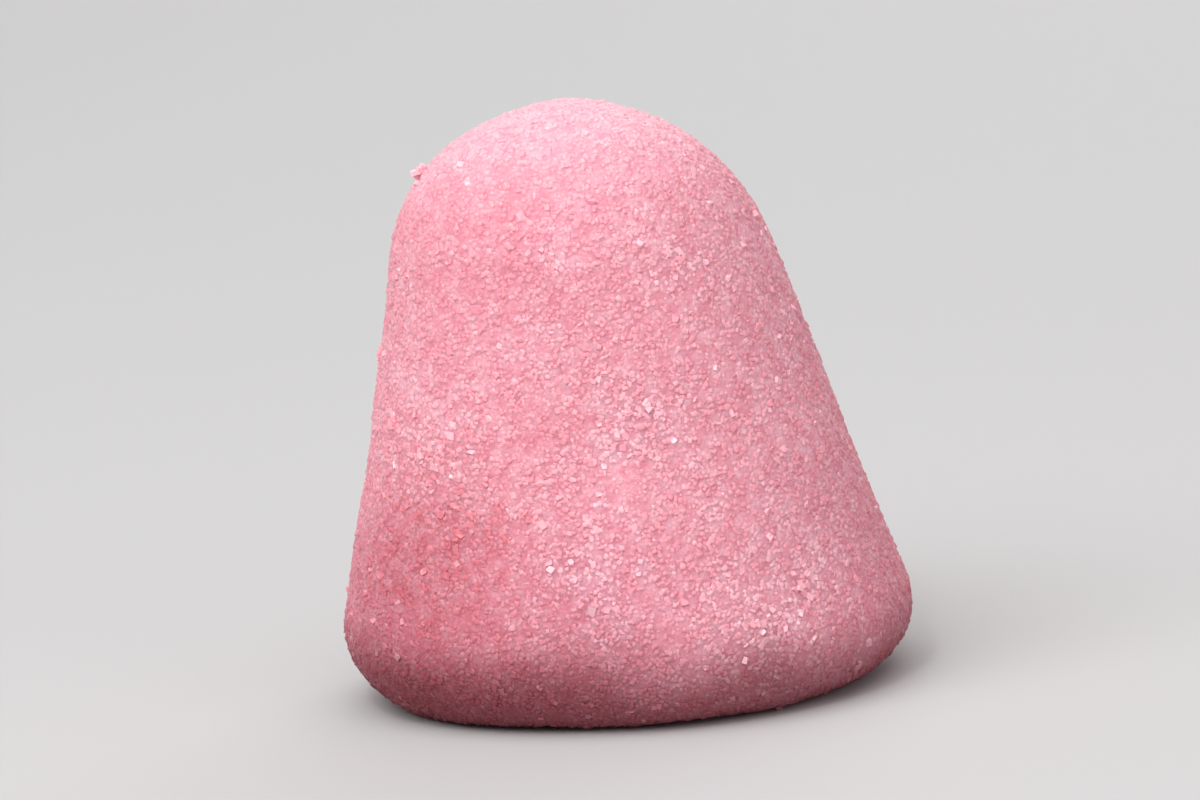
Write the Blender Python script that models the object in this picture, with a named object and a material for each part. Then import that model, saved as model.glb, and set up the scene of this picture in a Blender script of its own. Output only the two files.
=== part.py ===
"""A pink sugar-coated marshmallow: a soft rounded cone of foam that stands on its flat base.

The foam is a turned profile (flat base, rounded rim, straight tapering side, domed tip) that is
made a little oval, leaned to one side and pressed in and out by a few soft dents, as a sweet that
was tumbled in sugar while it was still soft. The largest sugar crystals stand on it as small
uneven blocks, fused to the foam by one union.

The frame is metres, +Z up. The origin is the centre of the flat base, and the side that faces -Y
is the front.
"""

import math
import random

import bmesh
import bpy
from mathutils import Matrix, Vector

MM = 0.001
MERGE = 0.001 * MM  # points closer than this are one point

# The foam body.
HEIGHT = 33.7 * MM
BASE_RADIUS = 16.05 * MM  # at the widest level of the rim
RIM_ROUND = 4.2 * MM  # radius of the rounding between the flat base and the side
SIDE_TAPER = math.radians(15.1)  # how far the side leans in from the upright
LEAN = math.radians(3.3)  # the whole cone leans towards -X
DEPTH_SHARE = 0.96  # front to back against side to side

# Facets of the turned profile.
STEPS_AROUND = 60
RIM_STEPS = 8
SIDE_STEPS = 8
DOME_STEPS = 10

# Soft dents (depth over 0) and swellings (depth under 0): the direction they face, counted from +X
# towards +Y, their level as a share of the height, their depth, and how wide and tall they spread.
DENTS = (
    # direction, level, depth, half width, half height as a share of the height
    (math.radians(-90), 0.42, 0.65 * MM, math.radians(38), 0.26),
    (math.radians(-42), 0.50, -0.28 * MM, math.radians(26), 0.30),
    (math.radians(178), 0.42, 0.12 * MM, math.radians(44), 0.28),
    (math.radians(2), 0.65, -0.19 * MM, math.radians(34), 0.22),
    (math.radians(150), 0.82, -0.35 * MM, math.radians(45), 0.13),
    (math.radians(85), 0.36, 0.90 * MM, math.radians(34), 0.20),
    (math.radians(35), 0.68, 0.45 * MM, math.radians(30), 0.17),
)
# Low waves of the rim and the side: how many go round, their height, and where they start.
WAVES = (
    (2, 0.16 * MM, math.radians(20)),
    (3, 0.13 * MM, math.radians(180)),
    (5, 0.08 * MM, math.radians(-30)),
)
AXIS_CALM = 0.35  # inside this share of the radius the dents and waves fade out towards the axis

# The sugar crystals that are large enough to be seen one by one.
CRYSTALS = 215
CRYSTAL_EDGE = (0.72 * MM, 1.05 * MM)
CRYSTAL_SLIM = (0.70, 1.0)  # the other edges against the longest
CRYSTAL_SKEW = 0.14  # how far a corner strays, as a share of the edge
CRYSTAL_SUNK = 0.14  # how deep the crystal's middle lies in the foam, as a share of the edge
CRYSTAL_TILT = math.radians(28)
LOWEST_CRYSTAL = 2.0 * MM
TIP_CLEAR = 0.3 * MM  # the highest crystal keeps this far below the tip, where the profile ends
GOLDEN_ANGLE = math.pi * (3 - math.sqrt(5))
PLACE_STRAY = 0.9 * MM
# Small clumps of crystals: direction and level as a share of the height.
CLUMPS = (
    (math.radians(181), 0.893),
    (math.radians(-62), 0.16),
    (math.radians(-50), 0.21),
    (math.radians(-78), 0.53),
    (math.radians(-100), 0.78),
    (math.radians(25), 0.30),
    (math.radians(70), 0.62),
    (math.radians(120), 0.25),
    (math.radians(205), 0.50),
    (math.radians(-130), 0.33),
)
CLUMP_SIZE = 3
CLUMP_SPREAD = 0.62 * MM
MEAN_RADIUS = 0.7 * BASE_RADIUS
SUGAR_SEED = 11

# How far to each side the surface is read to find the way it faces.
FACING_TURN = 0.02
FACING_RISE = 0.1 * MM

FOAM_PINK = (0.90, 0.46, 0.55)
FOAM_ROUGHNESS = 0.78
SHARP_ANGLE = math.radians(35)


def clear_scene():
    for thing in list(bpy.data.objects):
        bpy.data.objects.remove(thing, do_unlink=True)


def profile():
    """The outline from the middle of the base to the tip: base, rim arc, straight side, dome arc."""
    flat_radius = BASE_RADIUS - RIM_ROUND
    # The side's line, carried down to the floor, meets it at this radius.
    side_foot = flat_radius + RIM_ROUND * (math.tan(SIDE_TAPER) + 1 / math.cos(SIDE_TAPER))
    # The dome is the ball that touches the side's line and has its top at the height.
    dome_radius = (side_foot * math.cos(SIDE_TAPER) - HEIGHT * math.sin(SIDE_TAPER)) / (
        1 - math.sin(SIDE_TAPER)
    )

    def arc(radius, centre_r, centre_z, start, end, steps):
        turns = [start + (end - start) * i / steps for i in range(steps + 1)]
        return [(centre_r + radius * math.cos(t), centre_z + radius * math.sin(t)) for t in turns]

    rim = arc(RIM_ROUND, flat_radius, RIM_ROUND, -math.pi / 2, SIDE_TAPER, RIM_STEPS)
    dome = arc(dome_radius, 0.0, HEIGHT - dome_radius, SIDE_TAPER, math.pi / 2, DOME_STEPS)
    (r0, z0), (r1, z1) = rim[-1], dome[0]
    shares = [i / SIDE_STEPS for i in range(1, SIDE_STEPS)]
    side = [(r0 + (r1 - r0) * s, z0 + (z1 - z0) * s) for s in shares]
    dome[-1] = (0.0, HEIGHT)
    return [(0.0, 0.0)] + rim + side + dome


def soften(point):
    """Moves a point of the turned profile to its place on the uneven foam.

    A point moves only level with the base, so that the base stays flat: in or out by the dents and
    the waves, then nearer the middle from front to back, then to the side by the lean.
    """
    radius = math.hypot(point.x, point.y)
    turn = math.atan2(point.y, point.x)
    level = point.z / HEIGHT
    push = 0.0
    for direction, middle, depth, wide, tall in DENTS:
        away = math.remainder(turn - direction, 2 * math.pi) / wide
        push -= depth * math.exp(-(away**2) - ((level - middle) / tall) ** 2)
    for count, height, start in WAVES:
        push += height * math.cos(count * turn - start)
    share = min(radius / (AXIS_CALM * BASE_RADIUS), 1.0)
    radius += push * share * share * (3 - 2 * share)
    return Vector(
        (
            radius * math.cos(turn) - math.tan(LEAN) * point.z,
            DEPTH_SHARE * radius * math.sin(turn),
            point.z,
        )
    )


def foam_body():
    """The profile spun round Z into a closed shell, then softened."""
    mesh = bpy.data.meshes.new("marshmallow")
    work = bmesh.new()
    points = [work.verts.new((r, 0.0, z)) for r, z in profile()]
    edges = [work.edges.new(pair) for pair in zip(points, points[1:])]
    bmesh.ops.spin(
        work,
        geom=points + edges,
        cent=(0, 0, 0),
        axis=(0, 0, 1),
        angle=2 * math.pi,
        steps=STEPS_AROUND,
    )
    bmesh.ops.remove_doubles(work, verts=work.verts, dist=MERGE)
    for vertex in work.verts:
        vertex.co = soften(vertex.co)
    bmesh.ops.recalc_face_normals(work, faces=work.faces)
    bmesh.ops.triangulate(work, faces=work.faces)
    work.to_mesh(mesh)
    work.free()
    body = bpy.data.objects.new("marshmallow", mesh)
    bpy.context.scene.collection.objects.link(body)
    return body


def profile_point(level):
    """The turned profile's point at a level above the rim's foot, read between its corners."""
    corners = profile()
    for (r0, z0), (r1, z1) in zip(corners, corners[1:]):
        if z0 < level <= z1:
            share = (level - z0) / (z1 - z0)
            return r0 + (r1 - r0) * share
    return 0.0


def surface_place(turn, level):
    """A place on the softened foam and the direction that its surface faces."""

    def at(turn, level):
        radius = profile_point(level)
        return soften(Vector((radius * math.cos(turn), radius * math.sin(turn), level)))

    across = at(turn + FACING_TURN, level) - at(turn - FACING_TURN, level)
    rise = at(turn, level + FACING_RISE) - at(turn, level - FACING_RISE)
    return at(turn, level), across.cross(rise).normalized()


def crystal(dice, place, facing, sugar):
    """One sugar crystal: an uneven block, tilted a little out of the surface and part sunk in it."""
    edge = dice.uniform(*CRYSTAL_EDGE)
    sizes = Vector((edge, edge * dice.uniform(*CRYSTAL_SLIM), edge * dice.uniform(*CRYSTAL_SLIM)))
    work = bmesh.new()
    bmesh.ops.create_cube(work, size=1.0)
    upright = Vector((0, 0, 1)).rotation_difference(facing).to_matrix()
    spin = Matrix.Rotation(dice.uniform(0, math.pi), 3, "Z")
    tilt = Matrix.Rotation(dice.uniform(-CRYSTAL_TILT, CRYSTAL_TILT), 3, "X")
    middle = place - facing * (CRYSTAL_SUNK * edge)
    for vertex in work.verts:
        stray = Vector([dice.uniform(-CRYSTAL_SKEW, CRYSTAL_SKEW) for _ in range(3)])
        block = (vertex.co + stray) * sizes
        vertex.co = middle + upright @ (tilt @ (spin @ block))
    bmesh.ops.triangulate(work, faces=work.faces)
    mesh = bpy.data.meshes.new("crystal")
    work.to_mesh(mesh)
    work.free()
    grain = bpy.data.objects.new("crystal", mesh)
    sugar.objects.link(grain)


def sugar_crystals():
    """Spreads single crystals evenly by the golden angle, and adds the small clumps."""
    dice = random.Random(SUGAR_SEED)
    sugar = bpy.data.collections.new("sugar")
    bpy.context.scene.collection.children.link(sugar)
    # Ring areas of the profile above the lowest crystal, so that each crystal gets equal room.
    corners = [(r, z) for r, z in profile() if z >= LOWEST_CRYSTAL]
    rings = [
        math.pi * (r0 + r1) * math.hypot(r1 - r0, z1 - z0)
        for (r0, z0), (r1, z1) in zip(corners, corners[1:])
    ]
    for i in range(CRYSTALS):
        room = sum(rings) * (i + 0.5) / CRYSTALS
        ring = 0
        while room > rings[ring]:
            room -= rings[ring]
            ring += 1
        z0, z1 = corners[ring][1], corners[ring + 1][1]
        level = z0 + (z1 - z0) * room / rings[ring] + dice.uniform(-PLACE_STRAY, PLACE_STRAY) / 2
        level = min(max(level, LOWEST_CRYSTAL), HEIGHT - TIP_CLEAR)
        stray_turn = dice.uniform(-PLACE_STRAY, PLACE_STRAY) / BASE_RADIUS
        place, facing = surface_place(i * GOLDEN_ANGLE + stray_turn, level)
        crystal(dice, place, facing, sugar)
    for direction, share in CLUMPS:
        for _ in range(CLUMP_SIZE):
            turn = direction + dice.uniform(-CLUMP_SPREAD, CLUMP_SPREAD) / MEAN_RADIUS
            level = share * HEIGHT + dice.uniform(-CLUMP_SPREAD, CLUMP_SPREAD)
            place, facing = surface_place(turn, level)
            crystal(dice, place, facing, sugar)
    return sugar


def fuse(body, sugar):
    """Joins every crystal to the foam by one union, and clears the loose ones away."""
    union = body.modifiers.new("sugar_union", "BOOLEAN")
    union.operation = "UNION"
    union.operand_type = "COLLECTION"
    union.collection = sugar
    union.solver = "EXACT"
    bpy.context.view_layer.update()
    fused = bpy.data.meshes.new_from_object(
        body.evaluated_get(bpy.context.evaluated_depsgraph_get())
    )
    body.modifiers.remove(union)
    body.data = fused
    for grain in list(sugar.objects):
        bpy.data.objects.remove(grain, do_unlink=True)
    bpy.data.collections.remove(sugar)


def sugared_foam():
    """Soft pink foam: matt, and pale with the sugar on it."""
    material = bpy.data.materials.new("sugared_marshmallow")
    material.use_nodes = True
    shader = material.node_tree.nodes["Principled BSDF"]
    shader.inputs["Base Color"].default_value = (*FOAM_PINK, 1)
    shader.inputs["Roughness"].default_value = FOAM_ROUGHNESS
    shader.inputs["Metallic"].default_value = 0.0
    return material


def main():
    clear_scene()
    body = foam_body()
    fuse(body, sugar_crystals())
    body.data.materials.clear()
    body.data.materials.append(sugared_foam())
    body.data.shade_smooth()
    body.data.set_sharp_from_angle(angle=SHARP_ANGLE)


main()
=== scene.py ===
# %% [markdown]
# # A pink marshmallow in its coat of sugar
#
# The real sweet is a soft cone of foam, set in a starch mould and tumbled in sugar while it was
# still sticky. Seen close by, it is two things: a matt pink skin that light sinks into, and some
# seventy thousand sugar crystals that stand on it and catch the light one by one. So the model
# is made of the same two things. The skin is one closed surface worked out from a few sizes, and
# the crystals are real little blocks scattered over it, sorted by size into five pieces.
# Painting the sugar on would be quicker, but a painted edge stays smooth, and it is the rough
# edge against the background that tells the eye "sugar".

import math

import bpy
import numpy as np
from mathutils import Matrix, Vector


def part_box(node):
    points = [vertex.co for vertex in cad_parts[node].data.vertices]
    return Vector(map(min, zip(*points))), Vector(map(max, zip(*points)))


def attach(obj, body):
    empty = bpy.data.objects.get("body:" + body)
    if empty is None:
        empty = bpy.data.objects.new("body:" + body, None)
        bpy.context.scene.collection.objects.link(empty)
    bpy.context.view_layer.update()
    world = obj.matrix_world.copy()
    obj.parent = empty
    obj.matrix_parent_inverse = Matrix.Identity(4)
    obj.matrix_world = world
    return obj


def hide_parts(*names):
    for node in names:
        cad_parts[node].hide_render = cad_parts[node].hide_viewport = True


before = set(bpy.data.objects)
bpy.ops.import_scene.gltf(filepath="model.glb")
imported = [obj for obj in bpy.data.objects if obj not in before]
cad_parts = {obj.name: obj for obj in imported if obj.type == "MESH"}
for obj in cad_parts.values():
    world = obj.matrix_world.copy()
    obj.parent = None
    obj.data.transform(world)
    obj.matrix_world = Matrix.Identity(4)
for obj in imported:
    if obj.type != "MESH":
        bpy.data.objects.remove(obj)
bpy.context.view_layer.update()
node_low, node_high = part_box("marshmallow")
print("the solid reaches from", np.round(node_low, 4), "to", np.round(node_high, 4))

# %% [markdown]
# ## The sizes of the foam
#
# The foam is a turned profile: a flat base, a rounded rim, a straight side that tapers, and a
# ball-shaped dome. It could be drawn by hand as a curve, but four sizes fix it exactly, because
# every arc touches its neighbours. The sizes are those of the solid that this skin stands for,
# in metres.

# %% The sizes of the foam
MM = 0.001
HEIGHT = 33.7 * MM
BASE_RADIUS = 16.05 * MM
RIM_ROUND = 4.2 * MM
SIDE_TAPER = math.radians(15.1)
LEAN = math.radians(3.3)
DEPTH_SHARE = 0.96
print("solid's height against the foam's:", round(node_high[2] / HEIGHT, 3))

# %% [markdown]
# ## The profile by its running length
#
# A scattered crystal should be as likely on one square millimetre as on any other, so the skin
# is walked by running length and not by height: the walk starts at the middle of the base, goes
# out to the rim, up the side and over the dome to the tip. A closely spaced polyline holds the
# walk, and any place on it is read between two of its points.

# %% The profile by its running length
PROFILE_POINTS = 600


def arc(radius, centre_r, centre_z, start, end):
    """Points of a circle: the centre plus the radius times the cosine and sine of the turn."""
    turn = np.linspace(start, end, PROFILE_POINTS)
    return np.stack([centre_r + radius * np.cos(turn), centre_z + radius * np.sin(turn)], 1)


def line(start, end):
    """Points of a straight line: the start plus a share of the way to the end."""
    share = np.linspace(0, 1, PROFILE_POINTS)[:, None]
    return np.asarray(start) + (np.asarray(end) - np.asarray(start)) * share


flat_radius = BASE_RADIUS - RIM_ROUND
side_foot = flat_radius + RIM_ROUND * (math.tan(SIDE_TAPER) + 1 / math.cos(SIDE_TAPER))
dome_radius = (side_foot * math.cos(SIDE_TAPER) - HEIGHT * math.sin(SIDE_TAPER)) / (
    1 - math.sin(SIDE_TAPER)
)
rim = arc(RIM_ROUND, flat_radius, RIM_ROUND, -math.pi / 2, SIDE_TAPER)
dome = arc(dome_radius, 0, HEIGHT - dome_radius, SIDE_TAPER, math.pi / 2)
profile = np.concatenate([line((0, 0), rim[0]), rim, line(rim[-1], dome[0]), dome])
steps = np.hypot(*np.diff(profile, axis=0).T)
profile_run = np.concatenate([[0], np.cumsum(steps)])
RUN_END = profile_run[-1]
print(f"dome radius {dome_radius / MM:.1f} mm, walk of {RUN_END / MM:.1f} mm from base to tip")

# %% [markdown]
# ## Dents, waves and lean
#
# No sweet comes out of its mould perfectly round. Soft dents press the side in, low waves run
# round the rim, and the whole cone leans a little. A point only ever moves level with the
# base, so the base stays flat. Near the axis the push fades out, or the tip would tear.

# %% Dents, waves and lean
DENTS = (
    # direction, level, depth, half width, half height as a share of the height
    (math.radians(-90), 0.42, 0.65 * MM, math.radians(38), 0.26),
    (math.radians(-42), 0.50, -0.28 * MM, math.radians(26), 0.30),
    (math.radians(178), 0.42, 0.12 * MM, math.radians(44), 0.28),
    (math.radians(2), 0.65, -0.19 * MM, math.radians(34), 0.22),
    (math.radians(150), 0.82, -0.35 * MM, math.radians(45), 0.13),
    (math.radians(85), 0.36, 0.90 * MM, math.radians(34), 0.20),
    (math.radians(35), 0.68, 0.45 * MM, math.radians(30), 0.17),
)
WAVES = (
    # how many go round, height, where they start
    (2, 0.16 * MM, math.radians(20)),
    (3, 0.13 * MM, math.radians(180)),
    (5, 0.08 * MM, math.radians(-30)),
)
AXIS_CALM = 0.35


def smooth_form(turn, run):
    """The foam without its grain, from a direction and a running length.

    The radius and height come from the profile. The radius loses each dent, a bell curve in
    direction and level, and gains each wave, a cosine of the direction. Then the cone is
    squeezed from front to back and sheared towards -X by the lean.
    """
    radius = np.interp(run, profile_run, profile[:, 0])
    height = np.interp(run, profile_run, profile[:, 1])
    level = height / HEIGHT
    push = np.zeros(np.broadcast(turn, run).shape)
    for direction, middle, depth, wide, tall in DENTS:
        away = np.angle(np.exp(1j * (turn - direction))) / wide
        push -= depth * np.exp(-(away**2) - ((level - middle) / tall) ** 2)
    for count, tallness, start in WAVES:
        push += tallness * np.cos(count * turn - start)
    share = np.minimum(radius / (AXIS_CALM * BASE_RADIUS), 1)
    radius = radius + push * share**2 * (3 - 2 * share)
    x = radius * np.cos(turn) - math.tan(LEAN) * height
    y = DEPTH_SHARE * radius * np.sin(turn)
    return np.stack([x, y, height + 0 * x], -1)


quarters = smooth_form(np.arange(4) * math.pi / 2, np.full(4, RUN_END / 2))
print("half way along the walk, in mm:", np.round(quarters / MM, 1).tolist())

# %% [markdown]
# ## Which way the foam faces
#
# The grain lifts each point, and each crystal stands, square to the surface. A formula for that
# direction would be long, so two short steps are taken instead, one round the foam and one up
# it, and their cross product points outwards.

# %% Which way the foam faces
TURN_STEP = 0.01
RUN_STEP = 0.05 * MM
POLE_GAP = 0.01 * MM
SHORTEST = 1e-12


def unit(vectors):
    """Each vector divided by its own length."""
    return vectors / np.maximum(np.linalg.norm(vectors, axis=-1, keepdims=True), SHORTEST)


def facing(turn, run):
    """The way the smooth form faces: the cross product of a step round it and a step up it."""
    low_run = np.clip(run - RUN_STEP, POLE_GAP, RUN_END - 2 * POLE_GAP)
    high_run = np.clip(run + RUN_STEP, 2 * POLE_GAP, RUN_END - POLE_GAP)
    round_it = smooth_form(turn + TURN_STEP, run) - smooth_form(turn - TURN_STEP, run)
    up_it = smooth_form(turn, high_run) - smooth_form(turn, low_run)
    return unit(np.cross(round_it, up_it))


print("the tip faces", np.round(facing(np.zeros(1), np.array([RUN_END - RUN_STEP])), 2))

# %% [markdown]
# ## The grain of the skin
#
# Under its crystals the foam isn't smooth: it is pitted where the sugar pressed in, and it has
# lazy swellings a few millimetres across from the air in it. Both are sums of many plane waves
# in random directions, which is the simplest noise that works on whole arrays in numpy. The
# waves are seeded, so the same sweet comes out each time.

# %% The grain of the skin
GRAIN_HEIGHT = 0.020 * MM
SWELL_HEIGHT = 0.05 * MM
# seed, how many waves, shortest and longest wave
GRAIN_WAVES = (21, 48, 0.50 * MM, 0.95 * MM)
SWELL_WAVES = (22, 24, 5 * MM, 11 * MM)
BASE_HOLLOW = 0.30 * MM
HOLLOW_EDGE = 1.15


def plane_waves(points, seed, count, shortest, longest):
    """Noise of about unit size: many sines of distance along random directions, added up."""
    dice = np.random.default_rng(seed)
    directions = unit(dice.normal(size=(count, 3)))
    lengths = dice.uniform(shortest, longest, count)
    starts = dice.uniform(0, 2 * math.pi, count)
    phase = points @ (directions * (2 * math.pi / lengths)[:, None]).T + starts
    return np.sin(phase).sum(-1) / math.sqrt(count / 2)


def skin_form(turn, run):
    """The foam with its grain: each point of the smooth form moves along its facing.

    The base is hollowed a little, as the sugar under it holds it off the table, and nothing
    goes below the table.
    """
    points = smooth_form(turn, run)
    grain = plane_waves(points, *GRAIN_WAVES)
    relief = GRAIN_HEIGHT * grain + SWELL_HEIGHT * plane_waves(points, *SWELL_WAVES)
    points = points + facing(turn, run) * relief[..., None]
    hollow = np.clip(HOLLOW_EDGE - run / flat_radius, 0, 1) ** 0.5
    points[..., 2] = np.maximum(points[..., 2] + BASE_HOLLOW * hollow, 0)
    return points, grain


# %% [markdown]
# ## The frost
#
# The finest sugar is too small to be seen as grains. It lies on the foam as a frost, thick here
# and thin there, in blots of about a millimetre that gather into wider clouds. One number tells
# how thick it lies. It tints the skin and whitens the crystals alike, so both show one frost.

# %% The frost
FROST_BLOTS = (23, 80, 0.6 * MM, 1.7 * MM)
FROST_CLOUDS = (24, 40, 2.0 * MM, 5.0 * MM)
BLOTS_SHARE = 0.85
CLOUDS_SHARE = 0.40


def frost(points):
    """Thickness, 0 to 1: blots plus clouds, squashed at both ends by a hyperbolic tangent."""
    blots = plane_waves(points, *FROST_BLOTS)
    clouds = plane_waves(points, *FROST_CLOUDS)
    return 0.5 + 0.5 * np.tanh(BLOTS_SHARE * blots + CLOUDS_SHARE * clouds)


# %% [markdown]
# ## Putting arrays into meshes
#
# Every piece here ends as an array of points and an array of triangles. Blender takes both in
# one go with foreach_set, which is hundreds of times faster than adding vertices one by one. A
# piece may bring its own normals, and any number of marks, which are numbers that its material
# reads at each point.

# %% Putting arrays into meshes


def new_piece(name, points, triangles, smooth, normals=None, **marks):
    """A mesh object from a points array and a triangles array, with its normals and marks."""
    mesh = bpy.data.meshes.new(name)
    mesh.vertices.add(len(points))
    mesh.vertices.foreach_set("co", np.ascontiguousarray(points, np.float32).ravel())
    mesh.loops.add(3 * len(triangles))
    mesh.loops.foreach_set("vertex_index", np.ascontiguousarray(triangles, np.int32).ravel())
    mesh.polygons.add(len(triangles))
    mesh.polygons.foreach_set("loop_start", np.arange(0, 3 * len(triangles), 3, dtype=np.int32))
    mesh.polygons.foreach_set("use_smooth", np.full(len(triangles), smooth))
    mesh.update(calc_edges=True)
    if normals is not None:
        mesh.normals_split_custom_set_from_vertices(np.asarray(normals, np.float32))
    for mark, values in marks.items():
        layer = mesh.attributes.new(mark, "FLOAT", "POINT")
        layer.data.foreach_set("value", np.ascontiguousarray(values, np.float32).ravel())
    piece = bpy.data.objects.new(name, mesh)
    bpy.context.scene.collection.objects.link(piece)
    low, high = points.min(0) / MM, points.max(0) / MM
    print(f"{name}: {len(triangles)} triangles, mm {np.round(low, 1)} to {np.round(high, 1)}")
    return piece


# %% [markdown]
# ## The skin
#
# The skin is a grid of directions by running lengths, closed at the middle of the base and at
# the tip by one point each. Rows are close on the side and the dome, where the grain shows, and
# wide apart under the base, where nobody looks closely.

# %% The skin
AROUND = 460
BASE_ROWS = 18
SIDE_ROWS = 190
FIRST_RING = 0.5 * MM
LAST_RING = 0.15 * MM


def grid_triangles(rows, columns):
    """Triangles of a grid that closes on itself sideways, with a fan at either end."""
    row, column = np.meshgrid(np.arange(rows - 1), np.arange(columns), indexing="ij")
    here = row * columns + column
    beside = row * columns + (column + 1) % columns
    above, above_beside = here + columns, beside + columns
    lower = np.stack([here, beside, above_beside], -1).reshape(-1, 3)
    upper = np.stack([here, above_beside, above], -1).reshape(-1, 3)
    around = np.arange(columns)
    following = (around + 1) % columns
    base_point, tip_point = rows * columns, rows * columns + 1
    top_row = (rows - 1) * columns
    base_fan = np.stack([following, around, np.full(columns, base_point)], -1)
    tip_fan = np.stack([top_row + around, top_row + following, np.full(columns, tip_point)], -1)
    return np.concatenate([lower, upper, base_fan, tip_fan])


base_runs = np.linspace(FIRST_RING, flat_radius, BASE_ROWS, endpoint=False)
side_runs = np.linspace(flat_radius, RUN_END - LAST_RING, SIDE_ROWS)
skin_runs = np.concatenate([base_runs, side_runs])[:, None]
skin_turns = np.linspace(0, 2 * math.pi, AROUND, endpoint=False)[None]
skin_points, skin_grain = skin_form(skin_turns + 0 * skin_runs, skin_runs + 0 * skin_turns)
pole_runs = np.array([2 * POLE_GAP, RUN_END - 2 * POLE_GAP])
pole_points, pole_grain = skin_form(np.zeros(2), pole_runs)
skin_points = np.concatenate([skin_points.reshape(-1, 3), pole_points])
skin = new_piece(
    "marshmallow_skin",
    skin_points,
    grid_triangles(len(skin_runs), AROUND),
    True,
    grain=np.concatenate([skin_grain.ravel(), pole_grain]),
    frost=frost(skin_points),
)

# %% [markdown]
# ## Where the sugar lies
#
# The tumbling covers the whole sweet, but not evenly: here and there the sugar lies thicker,
# and a few places caught a whitish drift of it. Candidates are drawn evenly over the area, by
# drawing an area and looking up the running length that encloses it. Each then stays or goes by
# the thickness of the sugar at its place.

# %% Where the sugar lies
DRIFTS = (
    # direction, level as a share of the height, half width
    (math.radians(-60), 0.15, 4.5 * MM),
    (math.radians(-45), 0.22, 3.0 * MM),
    (math.radians(-57), 0.74, 2.8 * MM),
    (math.radians(-84), 0.50, 2.6 * MM),
    (math.radians(-100), 0.28, 3.2 * MM),
    (math.radians(30), 0.35, 4.5 * MM),
    (math.radians(80), 0.60, 4.0 * MM),
    (math.radians(140), 0.20, 4.5 * MM),
    (math.radians(218), 0.45, 3.5 * MM),
    (math.radians(181), 0.893, 1.0 * MM),
)
THICKNESS_WAVES = (31, 20, 5 * MM, 12 * MM)
THICKNESS_SHARE = 0.35
CANDIDATES = 5


def run_at(level):
    """The running length at a level of the side or the dome, given as a share of the height."""
    return np.interp(level * HEIGHT, profile[PROFILE_POINTS:, 1], profile_run[PROFILE_POINTS:])


def drift(points):
    """How whitish the sugar is: the highest of the drifts' bell curves at each point, 0 to 1."""
    white = np.zeros(len(points))
    for direction, level, wide in DRIFTS:
        middle = smooth_form(np.array([direction]), np.array([run_at(level)]))
        away = np.linalg.norm(points - middle, axis=1) / wide
        white = np.maximum(white, np.exp(-(away**2)))
    return white


area_share = np.cumsum((profile[1:, 0] + profile[:-1, 0]) * steps)
area_share = np.concatenate([[0], area_share / area_share[-1]])


def sugar_places(dice, count, patchy):
    """Places on the skin, drawn evenly by area and then thinned where the sugar lies thin."""
    drawn = CANDIDATES * count
    run = np.interp(dice.random(drawn), area_share, profile_run)
    turn = dice.uniform(0, 2 * math.pi, drawn)
    points, _ = skin_form(turn, run)
    clouds = 0.5 + 0.5 * np.tanh(plane_waves(points, *THICKNESS_WAVES))
    thickness = np.maximum(1 - patchy * (1 - THICKNESS_SHARE * clouds), drift(points))
    stays = np.flatnonzero(dice.random(drawn) < thickness)[:count]
    return points[stays], facing(turn[stays], run[stays])


print(f"{len(DRIFTS)} drifts, white over {drift(skin_points).mean():.0%} of the skin's points")

# %% [markdown]
# ## The clumps
#
# A few crystals also stuck together before they reached the foam. These small heaps show even
# in the outline, above all the one on the left shoulder, so they get places of their own. The
# first ten lie where the solid has its clumps, and the last one, a low one on the left flank,
# is only here. A heap is a little pyramid: the higher a crystal lies in it, the nearer it keeps
# to the middle, and so each one rests on those below it.

# %% The clumps
CLUMPS = (
    # direction, level as a share of the height, height of the heap
    (math.radians(181), 0.893, 0.52 * MM),
    (math.radians(-62), 0.16, 0.05 * MM),
    (math.radians(-50), 0.21, 0.10 * MM),
    (math.radians(-78), 0.53, 0.05 * MM),
    (math.radians(-100), 0.78, 0.05 * MM),
    (math.radians(25), 0.30, 0.20 * MM),
    (math.radians(70), 0.62, 0.20 * MM),
    (math.radians(120), 0.25, 0.18 * MM),
    (math.radians(205), 0.50, 0.10 * MM),
    (math.radians(-130), 0.33, 0.04 * MM),
    (math.radians(182), 0.596, 0.20 * MM),
)
CLUMP_SIZE = 9
CLUMP_SPREAD = 0.34 * MM
FOOT_SPREAD = 1.4


def clump_places(dice):
    """A heap at each clump: the stray is a bell curve times the foot's spread less the rise."""
    middle = np.repeat(np.array(CLUMPS), CLUMP_SIZE, axis=0)
    rise = np.tile(np.linspace(0, 1, CLUMP_SIZE), len(CLUMPS))
    stray = dice.normal(0, CLUMP_SPREAD, (len(middle), 2)) * (FOOT_SPREAD - rise)[:, None]
    run = run_at(middle[:, 1]) + stray[:, 0]
    turn = middle[:, 0] + stray[:, 1] / np.interp(run, profile_run, profile[:, 0])
    points, _ = skin_form(turn, run)
    normal = facing(turn, run)
    return points + normal * (middle[:, 2] * rise)[:, None], normal


print(f"{len(CLUMPS)} clumps of {CLUMP_SIZE} crystals")

# %% [markdown]
# ## The form of a crystal
#
# A sugar crystal is a squat slanted block with sharp edges. Eight corners and twelve triangles
# are enough for most of them, and the dust gets by with six corners. The coarse ones get a
# roof-shaped end as real ones have, which gives them more facets to flash with.

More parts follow.
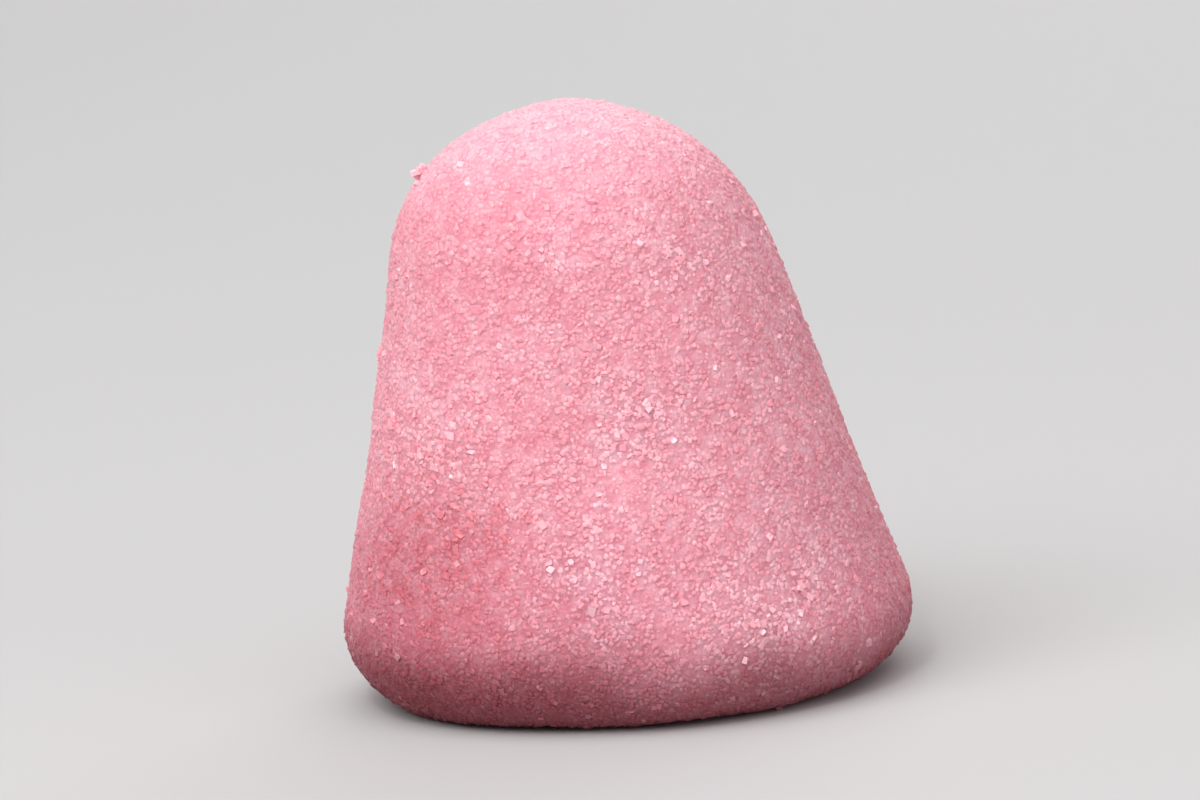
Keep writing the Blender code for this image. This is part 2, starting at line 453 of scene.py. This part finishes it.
# %% The form of a crystal
BLOCK_POINTS = np.array(
    [(x, y, z) for z in (-0.5, 0.5) for y in (-0.5, 0.5) for x in (-0.5, 0.5)], float
)
BLOCK_TRIANGLES = np.array(
    [
        (0, 2, 3), (0, 3, 1), (4, 5, 7), (4, 7, 6), (0, 1, 5), (0, 5, 4),
        (2, 6, 7), (2, 7, 3), (0, 4, 6), (0, 6, 2), (1, 3, 7), (1, 7, 5),
    ]
)  # fmt: skip
SHARD_POINTS = np.array(
    [(-0.5, 0, 0), (0.5, 0, 0), (0, -0.5, 0), (0, 0.5, 0), (0, 0, -0.5), (0, 0, 0.5)]
)
SHARD_TRIANGLES = np.array(
    [
        (1, 3, 5), (3, 0, 5), (0, 2, 5), (2, 1, 5), (3, 1, 4), (0, 3, 4), (2, 0, 4), (1, 2, 4),
    ]
)  # fmt: skip
ROOF = 0.24
ROOF_ENDS = ((-0.5, 0, 0.18), (0.5, 0, -0.12))
ROOFED_POINTS = np.concatenate([BLOCK_POINTS * (1 - ROOF, 1, 1), ROOF_ENDS])
ROOFED_TRIANGLES = np.array(
    [
        (0, 2, 3), (0, 3, 1), (4, 5, 7), (4, 7, 6), (0, 1, 5), (0, 5, 4), (2, 6, 7), (2, 7, 3),
        (0, 4, 8), (4, 6, 8), (6, 2, 8), (2, 0, 8), (1, 3, 9), (3, 7, 9), (7, 5, 9), (5, 1, 9),
    ]
)  # fmt: skip
SHARD = (SHARD_POINTS, SHARD_TRIANGLES)
BLOCK = (BLOCK_POINTS, BLOCK_TRIANGLES)
ROOFED = (ROOFED_POINTS, ROOFED_TRIANGLES)
print("triangles a crystal:", [len(triangles) for _, triangles in (SHARD, BLOCK, ROOFED)])

# %% [markdown]
# ## Laying the crystals
#
# Each crystal stands on the skin, turned at random and tipped by some degrees, with its foot
# sunk in. Its edges differ in length and its corners stray a little, so that no two are alike.
#
# Thousands of hard facets on a square centimetre look like sandpaper, but real fine sugar looks
# soft, because light passes through one grain into the next. Tracing that light would be slow
# and noisy, so the normals are bent instead: they point partly out of the crystal and partly
# the way the skin faces. Only the coarse grains keep their hard facets, to flash.

# %% Laying the crystals
EDGE_SPREAD = (1.6, 2.4)
SLIMMEST = 0.7
CORNER_STRAY = 0.08


def block_frames(dice, normal, tilt):
    """Three edge directions a crystal: the facing, turned about itself at random, then tipped."""
    sideways = unit(np.cross(normal, dice.normal(size=normal.shape)))
    forward = np.cross(normal, sideways)
    tip = dice.normal(0, tilt, len(normal))[:, None]
    upward = normal * np.cos(tip) + forward * np.sin(tip)
    forward = forward * np.cos(tip) - normal * np.sin(tip)
    return np.stack([sideways, forward, upward], 1)


def block_corners(dice, places, frames, corners, edges, flat, sunk):
    """Corner = middle + each edge's share along its own direction.

    The middle lies below its place by a share of the edge. A crystal that would reach below
    the table is lifted on to it.
    """
    points, normal = places
    count = len(points)
    smallest, largest = (edge * MM for edge in edges)
    edge = smallest + (largest - smallest) * dice.beta(*EDGE_SPREAD, count)
    slim = dice.uniform(SLIMMEST, 1.0, (count, 3))
    slim[:, 0] = 1
    slim[:, 2] *= flat
    shape = corners + dice.normal(0, CORNER_STRAY, (count,) + corners.shape)
    shape = shape * (edge[:, None] * slim)[:, None]
    middle = points - normal * (edge * dice.uniform(*sunk, count))[:, None]
    placed = middle[:, None] + shape @ frames
    placed[..., 2] -= np.minimum(placed[..., 2].min(1), 0)[:, None]
    return middle, placed


def soft_normals(placed, middle, normal, calm):
    """Normals between the way out of each crystal and the way the skin faces, by the calm."""
    outward = unit(placed - middle[:, None])
    return unit(outward * (1 - calm) + normal[:, None] * calm)


# %% [markdown]
# Each crystal also carries its whiteness as a mark. A few are whiter than the rest by nature,
# those in a drift are whiter by chance, and thick frost whitens them all.

# %% The whiteness of a crystal
WHITE_SPREAD = (1.2, 5.0)
DRIFT_WHITE = 0.6
FROST_WHITE = 0.50


def whiteness_of(dice, points):
    """Whiteness, 0 to 1: a crystal's own, plus its drift's by chance, plus the frost's."""
    whiteness = dice.beta(*WHITE_SPREAD, len(points))
    whiteness = whiteness + DRIFT_WHITE * drift(points) * dice.random(len(points))
    return np.clip(whiteness + FROST_WHITE * (frost(points) - 0.5), 0, 1)


# %% [markdown]
# One piece of sugar is now four steps: a frame for each crystal, its corners, its normals and
# its whiteness. All crystals of a piece share one mesh, as thousands of objects would be slow.

# %% One piece of sugar


def crystals(name, dice, places, edges, form, tilt, flat, sunk, calm):
    """One piece with a crystal at every place."""
    points, normal = places
    corners, triangles = form
    frames = block_frames(dice, normal, tilt)
    middle, placed = block_corners(dice, places, frames, corners, edges, flat, sunk)
    normals = soft_normals(placed, middle, normal, calm).reshape(-1, 3)
    every = np.arange(len(points))[:, None, None] * len(corners)
    return new_piece(
        name,
        placed.reshape(-1, 3),
        (triangles + every).reshape(-1, 3),
        calm > 0,
        normals if calm > 0 else None,
        whiteness=np.repeat(whiteness_of(dice, points), len(corners)),
    )


# %% [markdown]
# ## Five sizes of sugar
#
# Coating sugar is sieved, but it still runs from dust to coarse grains. Splitting it into five
# pieces keeps each mesh light and lets each size have its own patchiness: the finer sugar is
# everywhere, and the coarse grains are few and far between, apart from the drifts and clumps.

# %% Five sizes of sugar
SUGARS = (
    # name, seed, count, patchiness, shortest and longest edge in mm,
    # form, tilt in radians, flatness, depth sunk as a share of the edge, calm of the normals
    ("sugar_dust", 40, 24800, 0.10, (0.13, 0.23), SHARD, 0.70, 1.0, (0.10, 0.32), 0.6),
    ("sugar_fine", 41, 16500, 0.15, (0.15, 0.25), BLOCK, 0.80, 1.0, (0.12, 0.34), 0.6),
    ("sugar_grit", 44, 14500, 0.20, (0.16, 0.29), BLOCK, 0.80, 1.0, (0.14, 0.34), 0.6),
    ("sugar_medium", 42, 16500, 0.20, (0.18, 0.32), BLOCK, 0.60, 1.0, (0.20, 0.38), 0.5),
    ("sugar_coarse", 43, 1300, 0.93, (0.25, 0.54), ROOFED, 0.60, 0.9, (0.14, 0.36), 0),
)
CLUMPED = "sugar_coarse"

sugars = []
for name, seed, count, patchy, *make in SUGARS:
    dice = np.random.default_rng(seed)
    places = sugar_places(dice, count, patchy)
    if name == CLUMPED:
        places = [np.concatenate(pair) for pair in zip(places, clump_places(dice))]
    sugars.append(crystals(name, dice, places, *make))

# %% [markdown]
# ## Writing shader maths
#
# A material is a graph of nodes, and sums of nodes soon fill a screen. A small class that wraps
# one output socket and answers to plus, minus and times lets the same graph be written as
# ordinary expressions, such as 1 - mask. A second class holds the material itself, with one
# method for any node and short ones for the nodes that this sweet uses again and again.

# %% Writing shader maths


class Wire:
    """One output socket of a material, on which sums write their own Math nodes."""

    def __init__(self, paint, socket):
        self.paint = paint
        self.socket = socket

    def maths(self, operation, first, second):
        return self.paint.node("ShaderNodeMath", {"operation": operation}, {0: first, 1: second})

    def __add__(self, other):
        return self.maths("ADD", self, other)

    def __radd__(self, other):
        return self.maths("ADD", other, self)

    def __sub__(self, other):
        return self.maths("SUBTRACT", self, other)

    def __rsub__(self, other):
        return self.maths("SUBTRACT", other, self)

    def __mul__(self, other):
        return self.maths("MULTIPLY", self, other)

    def __rmul__(self, other):
        return self.maths("MULTIPLY", other, self)


class Paint:
    """A new material with its Principled BSDF, and the ways to add nodes to it."""

    def __init__(self, name):
        self.material = bpy.data.materials.new(name)
        self.material.use_nodes = True
        self.tree = self.material.node_tree
        self.shader = self.tree.nodes["Principled BSDF"]

    def fill(self, socket, value):
        """Links a wire to a socket, or sets the socket to a number or a colour."""
        if isinstance(value, Wire):
            self.tree.links.new(value.socket, socket)
        else:
            socket.default_value = value

    def node(self, kind, settings, inputs, output=0):
        """Any node: its type, its settings, then the values or wires of its sockets."""
        made = self.tree.nodes.new(kind)
        for setting, value in settings.items():
            setattr(made, setting, value)
        for key, value in inputs.items():
            self.fill(made.inputs[key], value)
        return Wire(self, made.outputs[output])

    def mark(self, name):
        """A number that the mesh carries at its points."""
        return self.node("ShaderNodeAttribute", {"attribute_name": name}, {}, "Fac")

    def along(self, place, axis):
        """One coordinate of a place."""
        return self.node("ShaderNodeSeparateXYZ", {}, {0: place}, axis)

    def away(self, place, middle):
        """The distance of a place from a fixed point."""
        settings = {"operation": "DISTANCE"}
        return self.node("ShaderNodeVectorMath", settings, {0: place, 1: middle}, "Value")

    def window(self, value, low, high):
        """0 up to the low value, 1 from the high value on, and a soft step between them."""
        settings = {"interpolation_type": "SMOOTHSTEP"}
        return self.node("ShaderNodeMapRange", settings, {0: value, 1: low, 2: high})

    def noise(self, place, scale, detail=2.0):
        """Cloud noise between 0 and 1."""
        inputs = {"Vector": place, "Scale": scale, "Detail": detail}
        return self.node("ShaderNodeTexNoise", {}, inputs)

    def mix(self, mask, first, second, blend="MIX"):
        """A colour between two colours, or the first one multiplied by the second one."""
        made = self.tree.nodes.new("ShaderNodeMix")
        made.data_type = "RGBA"
        made.blend_type = blend
        self.fill(made.inputs["Factor"], mask)
        self.fill(made.inputs[6], first)
        self.fill(made.inputs[7], second)
        return Wire(self, made.outputs[2])

    def surface(self, **values):
        """Fills the shader's own sockets, with spaces written as underscores."""
        for key, value in values.items():
            self.fill(self.shader.inputs[key.replace("_", " ")], value)
        print(f"{self.material.name}: {len(self.tree.nodes)} nodes")
        return self.material


# %% [markdown]
# ## The pink itself
#
# The pink isn't one colour. Random coral clouds vary its tone. A deeper, redder coral patch low
# on the front left and a cool mauve on the right side are painted shade, and the paler top is
# painted light; all fade into the main pink over several millimetres. The skin and the sugar
# share this map, so both take the same painted light and shade. The colours are written as linear
# light, as
# Blender's sockets expect.

# %% The pink itself
# Each band runs from a place or value to another, and each share says how strongly it tints.
CLOUD_SCALE = 110.0
# painted shade: a deeper, redder coral patch low on the front left
CORAL_SHADE_PATCH = (-0.0112, -0.0095, 0.0100)
CORAL_SHADE_BAND = (0.001, 0.0115)
CORAL_SHADE_SHARE = 0.65
CORAL_CLOUDS = (0.58, 0.74)
CORAL_CLOUDS_SHARE = 0.30
# painted shade: the right side turns a cooler, darker mauve
RIGHT_SHADE_BAND = (-0.007, 0.012)
RIGHT_SHADE_SHARE = 0.85
# painted light: the top is paler, where the light falls strongest
LIT_TOP_BAND = (0.0285, 0.0335)
LIT_TOP_SHARE = 0.8
SIDEWAYS_STRAY = 0.016
UPWARD_STRAY = 0.006


def from_screen(red, green, blue):
    """Linear light from a colour picked on screen, by the screen's power curve."""
    channels = np.array([red, green, blue]) / 255
    low = channels / 12.92
    high = ((channels + 0.055) / 1.055) ** 2.4
    return (*np.where(channels <= 0.04045, low, high), 1.0)


def blush(paint, main, coral, mauve_shade, pale):
    """Main colour plus coral clouds, painted coral and mauve shade and a painted-light top."""
    place = paint.node("ShaderNodeTexCoord", {}, {}, "Object")
    clouds = paint.noise(place, CLOUD_SCALE)
    stray = clouds - 0.5
    away = paint.away(place, CORAL_SHADE_PATCH)
    # painted shade: the coral patch; the random coral clouds added next are the pink's own tone
    coral_shade_and_clouds_mask = (1 - paint.window(away, *CORAL_SHADE_BAND)) * CORAL_SHADE_SHARE
    coral_shade_and_clouds_mask = coral_shade_and_clouds_mask + paint.window(clouds, *CORAL_CLOUDS) * CORAL_CLOUDS_SHARE
    rightward = paint.along(place, "X") + stray * SIDEWAYS_STRAY
    # painted shade: mauve on the right side
    right_shade_mask = paint.window(rightward, *RIGHT_SHADE_BAND) * RIGHT_SHADE_SHARE
    upward = paint.along(place, "Z") + stray * UPWARD_STRAY
    # painted light: the pale top
    lit_top_mask = paint.window(upward, *LIT_TOP_BAND) * LIT_TOP_SHARE
    colour = paint.mix(right_shade_mask, paint.mix(coral_shade_and_clouds_mask, main, coral), mauve_shade)
    return place, paint.mix(lit_top_mask, colour, pale)


# %% [markdown]
# ## The painted shade
#
# Some parts are the same pink, only darker, and this is painted shade. The rim is darkened all
# round, most of all at the front. The lower side towards the left, the right flank and two
# patches on the left are a little darker too. The painted shade multiplies whatever colour lies
# there, which keeps the grain and the frost visible in it.

# %% The painted shade
# painted shade: the rim, the lower left side, the right flank and two patches on the left darken
RIM_BAND = (0.0012, 0.0072)
RIM_SHADE = (0.48, 0.33, 0.34, 1.0)
LOW_BAND = (0.0060, 0.0150)
LOW_SHADE = (0.90, 0.87, 0.89, 1.0)
FLANK_BAND = (0.009, 0.015)
FLANK_SHADE = (0.93, 0.84, 0.86, 1.0)
RIGHT_BAND = (-0.001, 0.006)
RIGHT_SPARED = 0.85
BEHIND_BAND = (-0.004, 0.012)
BEHIND_SPARED = 0.55
SHADE_PATCHES = (
    # middle, where it starts and ends, painted shade
    ((-0.0125, -0.0085, 0.0030), (0.001, 0.0170), (0.78, 0.62, 0.64, 1.0)),
    ((-0.0086, -0.0067, 0.0272), (0.001, 0.0095), (0.96, 0.88, 0.89, 1.0)),
)
PATCH_STRAY = 0.008


def with_painted_shade(paint, place, colour):
    """The colour multiplied by painted shade on the patches, the flank, the foot and the rim."""
    stray = paint.noise(place, CLOUD_SCALE) - 0.5
    rightward = paint.along(place, "X")
    upward = paint.along(place, "Z") + stray * UPWARD_STRAY
    # painted shade: the two patches on the left
    for middle, band, shade_factor in SHADE_PATCHES:
        away = paint.away(place, middle) + stray * PATCH_STRAY
        colour = paint.mix(1 - paint.window(away, *band), colour, shade_factor, "MULTIPLY")
    # painted shade: the right flank
    colour = paint.mix(paint.window(rightward, *FLANK_BAND), colour, FLANK_SHADE, "MULTIPLY")
    # painted shade: the lower side, mostly towards the left
    right = paint.window(rightward, *RIGHT_BAND)
    low_shade_mask = (1 - paint.window(upward, *LOW_BAND)) * (1 - right * RIGHT_SPARED)
    colour = paint.mix(low_shade_mask, colour, LOW_SHADE, "MULTIPLY")
    # painted shade: the rim, weaker at the back
    behind = paint.window(paint.along(place, "Y"), *BEHIND_BAND)
    rim_shade_mask = (1 - paint.window(upward, *RIM_BAND)) * (1 - behind * BEHIND_SPARED)
    return paint.mix(rim_shade_mask, colour, RIM_SHADE, "MULTIPLY")


# %% [markdown]
# ## The skin's finish
#
# Foam is full of tiny bubbles, so light goes in, wanders for a millimetre or two and comes out
# softer. Subsurface scattering does just that, and it rounds off the shadows of the crystals.
# The skin is paler under the frost and in random specks, and deeper in bare places. The pits
# between its cells are darker, which is painted shade.

# %% The skin's finish
CELL_SCALE = 3600.0
FINE_SCALE = 6500.0
FINE_SHARE = 0.5
GRAIN_SHIFT = 0.08
PIT_SHADE_BAND = (0.42, 0.80)
PIT_SHADE_SHARE = 0.20
BARE_SHARE = 0.24
SPECK_BAND = (0.35, 0.75)
SPECK_SHARE = 0.32
FROST_SHARE = 0.32


def foam_finish():
    """Pink, specks and frost, deeper where frost is thin, then painted shade in pits, rim and
    flank.
    """
    paint = Paint("sugared foam")
    place, pink = blush(
        paint,
        main=from_screen(238, 149, 164),
        coral=from_screen(223, 111, 122),
        mauve_shade=from_screen(225, 143, 157),
        pale=from_screen(244, 169, 183),
    )
    cells = {"Vector": place, "Scale": CELL_SCALE}
    away = paint.node("ShaderNodeTexVoronoi", {}, cells, "Distance")
    tint = Wire(paint, away.socket.node.outputs["Color"])
    # painted shade: the pits between the cells, where the bump and the grain are low, are
    # darkened
    pit_shade = paint.window(away - paint.mark("grain") * GRAIN_SHIFT, *PIT_SHADE_BAND)
    frosted = paint.mark("frost")
    speckle = paint.window(tint, *SPECK_BAND) * SPECK_SHARE + frosted * FROST_SHARE
    dusted = paint.mix(speckle, pink, from_screen(244, 188, 200))
    # thin frost gives the skin's own deeper pink, and the pits add painted shade
    thin_frost_and_pit_shade = (1 - frosted) * BARE_SHARE + pit_shade * PIT_SHADE_SHARE
    dusted = paint.mix(thin_frost_and_pit_shade, dusted, from_screen(214, 128, 146))
    height = (1 - away) + paint.noise(place, FINE_SCALE, 3.0) * FINE_SHARE
    relief = {"Strength": 0.5, "Distance": 0.12 * MM, "Height": height}
    return paint.surface(
        Base_Color=with_painted_shade(paint, place, dusted),
        Roughness=0.72,
        Normal=paint.node("ShaderNodeBump", {}, relief),
        Subsurface_Weight=0.6,
        Subsurface_Radius=(1.0, 0.42, 0.38),
        Subsurface_Scale=1.8 * MM,
        Specular_IOR_Level=0.35,
    )


skin.data.materials.append(foam_finish())

# %% [markdown]
# ## The sugar's finish
#
# A sugar crystal is clear, and it borrows the pink of what is behind it. Tens of thousands of
# clear blocks would be slow to render and noisy, so each crystal is a solid block of a slightly
# paler pink than the skin, mixed with white by the whiteness that it carries. The bigger the
# crystal, the flatter and shinier its faces, so the finish runs from matt dust to coarse grains
# that glint, and fine scratches keep the gloss from being even.

# %% The sugar's finish
SUGAR_FINISHES = (
    # name, roughness, shine, share of white
    ("sugar dust", 0.60, 0.12, 0.50),
    ("fine sugar", 0.50, 0.15, 0.55),
    ("sugar grit", 0.42, 0.20, 0.58),
    ("medium sugar", 0.34, 0.25, 0.62),
    ("coarse sugar", 0.16, 0.55, 0.85),
)
SCRATCH_SCALE = 4200.0
SCRATCH_SHARE = 0.2


def sugar_finish(name, roughness, shine, white_share):
    """A crystal: the sweet's pink, mixed with white by its mark, given painted shade, and
    scratched.
    """
    paint = Paint(name)
    place, pink = blush(
        paint,
        main=from_screen(242, 159, 173),
        coral=from_screen(227, 121, 132),
        mauve_shade=from_screen(229, 151, 164),
        pale=from_screen(246, 178, 191),
    )
    colour = paint.mix(paint.mark("whiteness") * white_share, pink, from_screen(252, 218, 226))
    return paint.surface(
        Base_Color=with_painted_shade(paint, place, colour),
        Roughness=roughness + paint.noise(place, SCRATCH_SCALE, 1.0) * SCRATCH_SHARE,
        Specular_IOR_Level=shine,
    )


for piece, finish in zip(sugars, SUGAR_FINISHES):
    piece.data.materials.append(sugar_finish(*finish))

# %% [markdown]
# ## Joining the pieces to the model
#
# The sweet has no moving part, so every piece rides on its one body. The skin stands for the
# solid, which stays in the model for its weight and its collisions.

# %% Joining the pieces to the model
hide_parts("marshmallow")
for piece in (skin, *sugars):
    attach(piece, "root")
print(1 + len(sugars), "pieces ride on root")

# %% [markdown]
# ## The table
#
# The sweet stands on a plain pale sheet that curves up behind it, as in a small photo tent, so
# that no horizon shows.

# %% The table
SHEET_HALF_WIDTH = 1.2
SHEET_FRONT = -0.8
SHEET_BEND_START = 0.35
SHEET_BEND = 0.30
SHEET_BEND_POINTS = 24
SHEET_TOP = 1.1
SHEET_COLOUR = (0.48, 0.475, 0.475, 1.0)


def backdrop():
    """A sheet that lies flat, bends up by a quarter circle and goes on upright."""
    turn = np.linspace(-math.pi / 2, 0, SHEET_BEND_POINTS)
    bend_y = SHEET_BEND_START + SHEET_BEND * np.cos(turn)
    bend_z = SHEET_BEND + SHEET_BEND * np.sin(turn)
    y = np.concatenate([[SHEET_FRONT], bend_y, [SHEET_BEND_START + SHEET_BEND]])
    z = np.concatenate([[0], bend_z, [SHEET_TOP]])
    left = np.stack([np.full(len(y), -SHEET_HALF_WIDTH), y, z], 1)
    right = left * (-1, 1, 1)
    row = np.arange(len(y) - 1)
    near = np.stack([row, row + len(y), row + len(y) + 1], 1)
    far = np.stack([row, row + len(y) + 1, row + 1], 1)
    return new_piece("backdrop", np.concatenate([left, right]), np.concatenate([near, far]), True)


sheet = backdrop()
paper = Paint("pale paper")
paper.surface(Base_Color=SHEET_COLOUR, Roughness=0.9, Specular_IOR_Level=0.1)
sheet.data.materials.append(paper.material)

# %% [markdown]
# ## The light
#
# A wide soft light hangs above and does most of the work. A key light on the left gives the
# round forms their shade, and a weak pinkish one on the right keeps the shaded flank warm. One
# more stands behind, for the views from the back. The sparkle light is tiny, since a crystal
# only flashes in a light that is small enough to have an edge.

# %% The light
MIDDLE = np.array([-0.001, 0.0, 0.0165])
WHITE = (1.0, 1.0, 1.0)
LAMPS = (
    # name, place, size, watts, colour
    ("soft sky", (-0.20, -0.38, 0.86), 1.30, 8.6, WHITE),
    ("key light", (-0.26, -0.27, 0.42), 0.50, 1.47, WHITE),
    ("sparkle light", (-0.12, -0.34, 0.42), 0.04, 0.30, WHITE),
    ("pink bounce", (0.32, -0.34, 0.14), 0.34, 0.45, (1.0, 0.82, 0.85)),
    ("soft back light", (0.16, 0.44, 0.34), 0.50, 1.25, WHITE),
)
ROOM_COLOUR = (0.99, 0.99, 1.0, 1.0)
ROOM_STRENGTH = 0.38


def lamp(name, place, size, watts, colour):
    """A square soft light at a place, turned to the middle of the sweet."""
    light = bpy.data.lights.new(name, "AREA")
    light.size = size
    light.energy = watts
    light.color = colour
    holder = bpy.data.objects.new(name, light)
    holder.location = place
    holder.rotation_euler = (holder.location - Vector(MIDDLE)).to_track_quat("Z", "Y").to_euler()
    bpy.context.scene.collection.objects.link(holder)
    print(f"{name}: {watts} W, {size} m wide")


for values in LAMPS:
    lamp(*values)
world = bpy.data.worlds.new("room")
world.use_nodes = True
world.node_tree.nodes["Background"].inputs["Color"].default_value = ROOM_COLOUR
world.node_tree.nodes["Background"].inputs["Strength"].default_value = ROOM_STRENGTH
bpy.context.scene.world = world

# %% [markdown]
# Blender's usual view transform greys bright pinks to protect them from clipping. The Standard
# one shows colours as they are, which a picture of one pale sweet can afford.

# %% The view transform
bpy.context.scene.view_settings.view_transform = "Standard"
print("view transform:", bpy.context.scene.view_settings.view_transform)

# %% [markdown]
# ## The camera
#
# The picture was taken from the front and a little above, from some way off, with the camera
# turned a few degrees, so that the base runs up to the right. A long lens keeps the sides as
# parallel as they are in the picture.

# %% The camera
LENS = 200.0
SENSOR = 36.0
CAMERA_RISE = math.radians(10)
CAMERA_ROLL = math.radians(4.2)
PICTURE_WIDTH_SEEN = 0.0685
DISTANCE = PICTURE_WIDTH_SEEN * LENS / SENSOR


def take_picture():
    """A camera that looks at the middle from its rise, turned about its own line of sight."""
    eye = bpy.data.cameras.new("camera")
    eye.lens = LENS
    eye.sensor_width = SENSOR
    eye.clip_start = 0.01
    holder = bpy.data.objects.new("camera", eye)
    back = np.array([0.0, -math.cos(CAMERA_RISE), math.sin(CAMERA_RISE)])
    holder.location = MIDDLE + DISTANCE * back
    holder.rotation_euler = (math.pi / 2 - CAMERA_RISE, 0.0, 0.0)
    holder.rotation_euler.rotate_axis("Z", -CAMERA_ROLL)
    bpy.context.scene.collection.objects.link(holder)
    bpy.context.scene.camera = holder
    print(f"camera {DISTANCE / MM:.0f} mm away")


take_picture()
